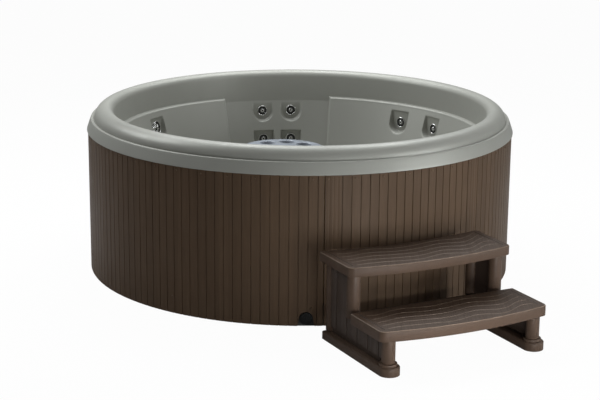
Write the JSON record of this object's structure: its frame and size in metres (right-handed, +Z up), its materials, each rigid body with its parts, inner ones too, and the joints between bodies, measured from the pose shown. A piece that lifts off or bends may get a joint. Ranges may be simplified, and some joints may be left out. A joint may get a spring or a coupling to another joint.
{
  "type": "hot tub",
  "caption": "Round slatted hot tub with a moulded seat shell, massage jets, a central filter column, an equipment bay behind a door, and a separate two-tread step.",
  "frame": {"origin": "on the floor under the middle of the round tub", "axes": "+Z up, -Y towards the front that the picture shows, +X to its right"},
  "size_m": [1.9395, 2.5012, 0.74],
  "materials": {
    "shell": "satin moulded grey",
    "slats": "brown grained resin",
    "screw": "brown painted",
    "frame": "plain softwood",
    "pan": "black moulded",
    "foil": "foil faced foam",
    "chrome": "bright",
    "nozzle": "dark grey",
    "pipe": "white pipe",
    "tube": "clear grey hose",
    "column": "grey moulded",
    "paper": "pleated filter cloth",
    "lid": "glossy blue grey",
    "cover": "grey moulded",
    "motor": "dark paint",
    "black": "black moulded",
    "shaft": "brushed",
    "steel": "brushed",
    "key": "light grey",
    "lens": "frosted",
    "resin": "reddish brown resin"
  },
  "bodies": {
    "tub": {"shell": "shell", "base_pan": "pan", "well_cradle": "frame", "top_ring": "frame", "frame_posts": "frame", "insulation": "foil", "panel_front": "slats", "panel_right": "slats", "panel_back_right": "slats", "panel_back_left": "slats", "panel_screws": "screw", "jet_rings": "chrome", "large_jet_ring": "chrome", "jet_bodies": "cover", "water_manifold": "pipe", "jet_risers": "pipe", "air_line": "tube", "filter_housing": "column", "suction_covers": "cover", "suction_pipe": "pipe", "pump_volute": "black", "pump_motor": "motor", "heater_pipes": "pipe", "heater_tube": "steel", "pack_stand": "steel", "control_box": "motor", "power_gland": "black", "control_panel": "black", "air_valve": "cover", "light_lens": "lens", "drain_valve": "black", "drain_hose": "tube"},
    "door": {"access_door": "slats", "door_screws": "screw"},
    "lid": {"filter_lid": "lid"},
    "cartridge": {"filter_cartridge": "paper"},
    "nozzle_a": {"high_nozzle_right": "nozzle"},
    "nozzle_b": {"high_nozzle_left": "nozzle"},
    "nozzle_c": {"low_nozzle_right": "nozzle"},
    "nozzle_d": {"low_nozzle_left": "nozzle"},
    "nozzle_e": {"side_nozzle_near": "nozzle"},
    "nozzle_f": {"side_nozzle_far": "nozzle"},
    "large_jet": {"large_jet_face": "chrome"},
    "jets_key": {"jets_button": "key"},
    "light_key": {"light_button": "key"},
    "warm_key": {"warm_button": "key"},
    "cool_key": {"cool_button": "key"},
    "air_control": {"air_knob": "cover"},
    "drain_plug": {"drain_cap": "black"},
    "rotor": {"pump_rotor": "shaft"},
    "steps": {"upper_tread": "resin", "lower_tread": "resin", "left_side_panel": "resin", "right_side_panel": "resin", "step_posts": "resin", "left_base_rail": "resin", "right_base_rail": "resin", "back_stretcher": "resin", "step_screws": "steel"}
  },
  "joints": [
    {"name": "door_pull", "type": "slide", "parent": "tub", "child": "door", "axis": [0.4484, -0.8939, 0], "range_m": [0, 0.045]},
    {"name": "lid_lift", "type": "slide", "parent": "tub", "child": "lid", "axis": [0, 0, 1], "range_m": [0, 0.25]},
    {"name": "cartridge_twist", "type": "hinge", "parent": "tub", "child": "cartridge", "pos_m": [-0.077, 0, 0.134], "axis": [0, 0, 1], "range_deg": [0, 90]},
    {"name": "nozzle_a_turn", "type": "hinge", "parent": "tub", "child": "nozzle_a", "pos_m": [-0.04812, 0.83461, 0.54], "axis": [-0.0576, 0.9983, 0], "range_deg": [0, 90]},
    {"name": "nozzle_b_turn", "type": "hinge", "parent": "tub", "child": "nozzle_b", "pos_m": [-0.19232, 0.81358, 0.54], "axis": [-0.23, 0.9732, 0], "range_deg": [0, 90]},
    {"name": "nozzle_c_turn", "type": "hinge", "parent": "tub", "child": "nozzle_c", "pos_m": [-0.04657, 0.80766, 0.4], "axis": [-0.0576, 0.9983, 0], "range_deg": [0, 90]},
    {"name": "nozzle_d_turn", "type": "hinge", "parent": "tub", "child": "nozzle_d", "pos_m": [-0.18611, 0.7873, 0.4], "axis": [-0.23, 0.9732, 0], "range_deg": [0, 90]},
    {"name": "nozzle_e_turn", "type": "hinge", "parent": "tub", "child": "nozzle_e", "pos_m": [0.65328, 0.49228, 0.521], "axis": [0.7986, 0.6018, 0], "range_deg": [0, 90]},
    {"name": "nozzle_f_turn", "type": "hinge", "parent": "tub", "child": "nozzle_f", "pos_m": [0.50361, 0.64459, 0.521], "axis": [0.6157, 0.788, 0], "range_deg": [0, 90]},
    {"name": "large_jet_turn", "type": "hinge", "parent": "tub", "child": "large_jet", "pos_m": [-0.70116, 0.4213, 0.521], "axis": [-0.8572, 0.515, 0], "range_deg": [0, 90]},
    {"name": "jets_key_press", "type": "slide", "parent": "tub", "child": "jets_key", "axis": [-0.2756, -0.9613, 0], "range_m": [0, 0.0012], "stiffness_N_per_m": 400},
    {"name": "light_key_press", "type": "slide", "parent": "tub", "child": "light_key", "axis": [-0.2756, -0.9613, 0], "range_m": [0, 0.0012], "stiffness_N_per_m": 400},
    {"name": "warm_key_press", "type": "slide", "parent": "tub", "child": "warm_key", "axis": [-0.2756, -0.9613, 0], "range_m": [0, 0.0012], "stiffness_N_per_m": 400},
    {"name": "cool_key_press", "type": "slide", "parent": "tub", "child": "cool_key", "axis": [-0.2756, -0.9613, 0], "range_m": [0, 0.0012], "stiffness_N_per_m": 400},
    {"name": "air_turn", "type": "hinge", "parent": "tub", "child": "air_control", "pos_m": [0.31317, -0.77513, 0.662], "axis": [0.3746, -0.9272, 0], "range_deg": [0, 180]},
    {"name": "drain_unscrew", "type": "hinge", "parent": "tub", "child": "drain_plug", "pos_m": [0.0315, -0.94948, 0.035], "axis": [0.0332, -0.9995, 0], "range_deg": [0, 340]},
    {"name": "rotor_spin", "type": "hinge", "parent": "tub", "child": "rotor", "pos_m": [0.16181, -0.63484, 0.108], "axis": [0.8939, 0.4484, 0], "continuous": true},
    {"name": "steps_away", "type": "slide", "parent": "tub", "child": "steps", "axis": [0.4555, -0.8902, 0], "range_m": [0, 0.5]}
  ]
}
